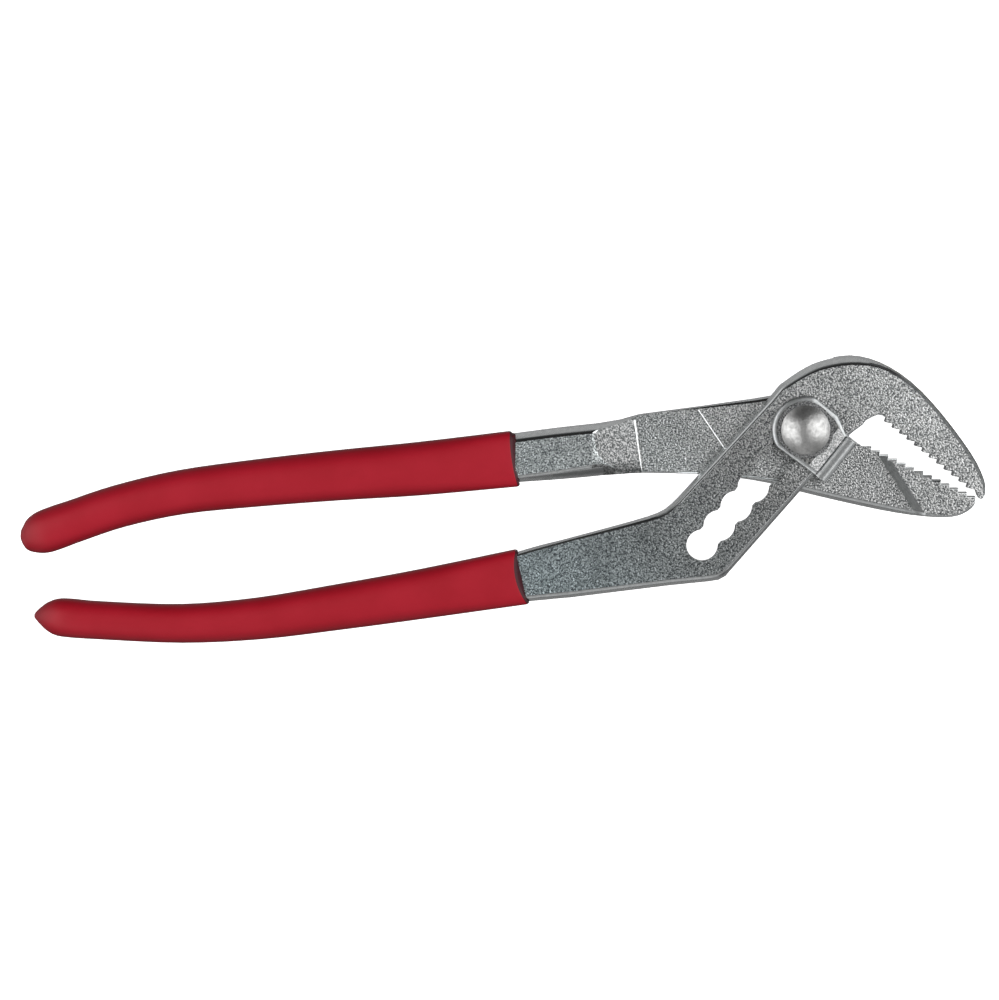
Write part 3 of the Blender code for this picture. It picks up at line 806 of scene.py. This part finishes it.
def hookLip(spec, across, along):
    # the section is drawn flat and stood up along the neck
    top = spec["low"] + spec["thick"]
    crown = top + spec["rise"]
    start, web = spec["crease"] + spec["groove"], top - spec["grooveDepth"]
    crest = spec["outer"] - spec["round"]
    bend = []
    for p in arc(spec["round"], 180, 0, 24):
        if p.x > 0:
            bend.append((crest + p.x, crown - spec["round"] + p.y))
        else:
            bend.append((crest + p.x * (crest - start) / spec["round"],
                         crown - spec["crownSag"] * (1 - p.y / spec["round"])))
    section = [
        (start, web), *bend,
        (spec["outer"], spec["bottom"]), (spec["inner"], spec["bottom"]), (spec["inner"], spec["low"]),
        (start - spec["tuck"], spec["low"]), (start - spec["tuck"], web),
    ]
    short = spec["lipShort"]
    lip = prism("lip", section, short - spec["end"], -short - spec["start"])
    work = bmesh.new()
    work.from_mesh(lip.data)
    ends = [e for e in work.edges if abs(e.verts[0].co.z - e.verts[1].co.z) < tiny]
    bmesh.ops.bevel(work, geom=ends, offset=spec["lipBevel"] * mm, segments=2, affect="EDGES",
                    profile=0.5, material=-1, clamp_overlap=True)
    stand = Matrix((
        (across.x, 0, -along.x, 0), (across.y, 0, -along.y, 0), (0, 1, 0, 0), (0, 0, 0, 1)))
    bmesh.ops.transform(work, matrix=stand, verts=work.verts)
    work.to_mesh(lip.data)
    work.free()
    return lip


def makeGuide(spec):
    across, along = alongNeck(0, 1, spec["askew"]), alongNeck(1, 0, spec["askew"])
    plate = pressPlate(spec, across)
    cutBy(plate, [hookLip(spec, across, along)], "UNION")
    low, high = spec["low"] - head["past"], spec["low"] + spec["thick"] + head["past"]
    hole = [(0, high), (spec["hole"], high), (spec["hole"], low), (0, low)]
    cutBy(plate, [turnedCutter("hole", hole)])
    for material in (guidePlating, lipPlating, bendPlating):
        plate.data.materials.append(material)
    for face in plate.data.polygons:
        spot = Vector(face.center.xy).dot(across) / mm
        flat = face.normal.z > spec["flatRise"] and spot < spec["crease"] + spec["flatPast"]
        face.material_index = 1 if not flat else 2 if spot > spec["bend"] else 0
        face.use_smooth = spot > spec["crease"]
    plate.data.set_sharp_from_angle(angle=radians(sharpAngle))
    plate.modifiers.new("evenNormals", "WEIGHTED_NORMAL").keep_sharp = True
    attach(plate, "guide")
    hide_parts("guide_plate")
    return plate


print("pressing the guide plate")
makeGuide(guide)
for node, material in (("pivot_bolt", domePlating), ("head_washer", washerSteel)):
    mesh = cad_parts[node].data
    mesh.materials.clear()
    mesh.materials.append(material)


# Studio: pale floor, soft boxes and camera

studio = {
    "floor": "#ffffff", "glow": 1.0,
    # brightness of the room from the near side to the far side, above and below the bench
    "sky": [(0.0, 0.5), (0.14, 0.32), (0.4, 0.09), (1.0, 0.02)],
    "ground": [(0.0, 0.55), (0.06, 0.4), (0.11, 0.12), (0.16, 0.12), (0.25, 0.3), (0.36, 0.24),
               (0.5, 0.12), (0.65, 0.36), (0.78, 0.5), (0.93, 0.4), (1.0, 0.1)],
    "dimming": 0.7, "dimSpan": (0.15, 0.45),       # towards the jaws' side
    "wings": 1.0, "wingSpan": (0.6, 0.85),         # white cards at both ends
    "bounce": 0.15, "horizon": (-0.1, 0.3),
    "floorSize": 4.0, "floorDrop": 0.0002,
    "distance": 2600.0, "aim": (-79.36, -18.34, 8.0), "lean": (0.3, 2.5),
    "across": 259.7, "sensor": 36.0, "clip": (0.05, 10.0),
    "boxes": [
        # tilt from the zenith, direction round it, distance, width, height, watts
        {"tilt": 54, "round": 176, "far": 800, "wide": 820, "high": 1000, "watts": 5.3},
        {"tilt": 52, "round": 10, "far": 700, "wide": 800, "high": 900, "watts": 4.8},
        {"tilt": 48, "round": 232, "far": 900, "wide": 420, "high": 300, "watts": 0.8},
    ],
}


def levelRamp(tree, factor, stops):
    ramp = addNode(tree, "ShaderNodeValToRGB", links={"Fac": factor})
    ramp.color_ramp.interpolation = "EASE"
    while len(ramp.color_ramp.elements) < len(stops):
        ramp.color_ramp.elements.new(0.5)
    for element, (spot, level) in zip(ramp.color_ramp.elements, stops):
        element.position, element.color = spot, (level, level, level, 1)
    return ramp.outputs["Color"]


def makeWorld(spec):
    world = bpy.data.worlds.new("studioWorld")
    world.use_nodes = True
    tree = world.node_tree
    way = addNode(tree, "ShaderNodeTexCoord").outputs["Generated"]
    x, y, z = addNode(tree, "ShaderNodeSeparateXYZ", links={"Vector": way}).outputs
    across = spread(tree, y, (-1.0, 1.0))
    ground = levelRamp(tree, across, spec["ground"])
    sky = levelRamp(tree, across, spec["sky"])
    # below the bench the room darkens to one side, then the two white wings begin
    dim = spread(tree, x, spec["dimSpan"], (1.0, 1 - spec["dimming"]))
    wing = spread(tree, compute(tree, "ABSOLUTE", x), spec["wingSpan"], (0.0, spec["wings"]))
    ground = compute(tree, "MULTIPLY_ADD", ground, dim, wing)
    # the bench under the tool bounces little light on to its matt parts
    path = addNode(tree, "ShaderNodeLightPath").outputs["Is Diffuse Ray"]
    ground = compute(tree, "MULTIPLY", ground, spread(tree, path, (0.0, 1.0), (1.0, spec["bounce"])))
    level = addNode(tree, "ShaderNodeMix", {}, {}, {
        0: spread(tree, z, spec["horizon"]), 2: ground, 3: sky})
    back = tree.nodes["Background"]
    tree.links.new(level.outputs[0], back.inputs["Strength"])
    back.inputs["Color"].default_value = (1, 1, 1, 1)
    scene.world = world


def makeFloor(spec):
    work = bmesh.new()
    bmesh.ops.create_grid(work, x_segments=1, y_segments=1, size=spec["floorSize"])
    bmesh.ops.translate(work, verts=work.verts, vec=(0, 0, -spec["floorDrop"]))
    material = startMaterial("paleStudioFloor", {
        "Base Color": colour(spec["floor"]), "Roughness": 0.9, "Specular IOR Level": 0.0,
        "Emission Color": colour(spec["floor"]), "Emission Strength": spec["glow"]})[0]
    floor = meshObject("studioFloor", work, material)
    floor.visible_glossy = False     # the metal reflects the room, not a glowing floor
    floor.visible_diffuse = False


def makeSoftBox(name, box, aim):
    light = bpy.data.lights.new(name, "AREA")
    light.shape = "RECTANGLE"
    light.size, light.size_y = box["wide"] * mm, box["high"] * mm
    light.energy = box["watts"]
    tilt, turn = radians(box["tilt"]), radians(box["round"])
    way = Vector((sin(tilt) * cos(turn), sin(tilt) * sin(turn), cos(tilt)))
    lamp = bpy.data.objects.new(name, light)
    lamp.location = aim + way * box["far"] * mm
    lamp.rotation_euler = way.to_track_quat("Z", "Y").to_euler()
    scene.collection.objects.link(lamp)


def makeCamera(spec, aim):
    lens = bpy.data.cameras.new("studioCamera")
    lens.sensor_width = spec["sensor"]
    lens.lens = spec["sensor"] * spec["distance"] / spec["across"]
    lens.clip_start, lens.clip_end = spec["clip"]
    camera = bpy.data.objects.new("studioCamera", lens)
    leanX, leanY = (radians(v) for v in spec["lean"])
    back = Vector((sin(leanX), sin(leanY), cos(leanX) * cos(leanY))).normalized()
    right = Vector((1, 0, 0))
    right = (right - back * right.dot(back)).normalized()
    up = back.cross(right)
    spot = aim + back * spec["distance"] * mm
    camera.matrix_world = Matrix((
        (right.x, up.x, back.x, spot.x), (right.y, up.y, back.y, spot.y),
        (right.z, up.z, back.z, spot.z), (0, 0, 0, 1)))
    scene.collection.objects.link(camera)
    scene.camera = camera


def makeStudio(spec):
    makeFloor(spec)
    makeWorld(spec)
    aim = Vector(spec["aim"]) * mm
    for k, box in enumerate(spec["boxes"]):
        makeSoftBox("softBox%d" % k, box, aim)
    makeCamera(spec, aim)


print("setting the studio")
makeStudio(studio)
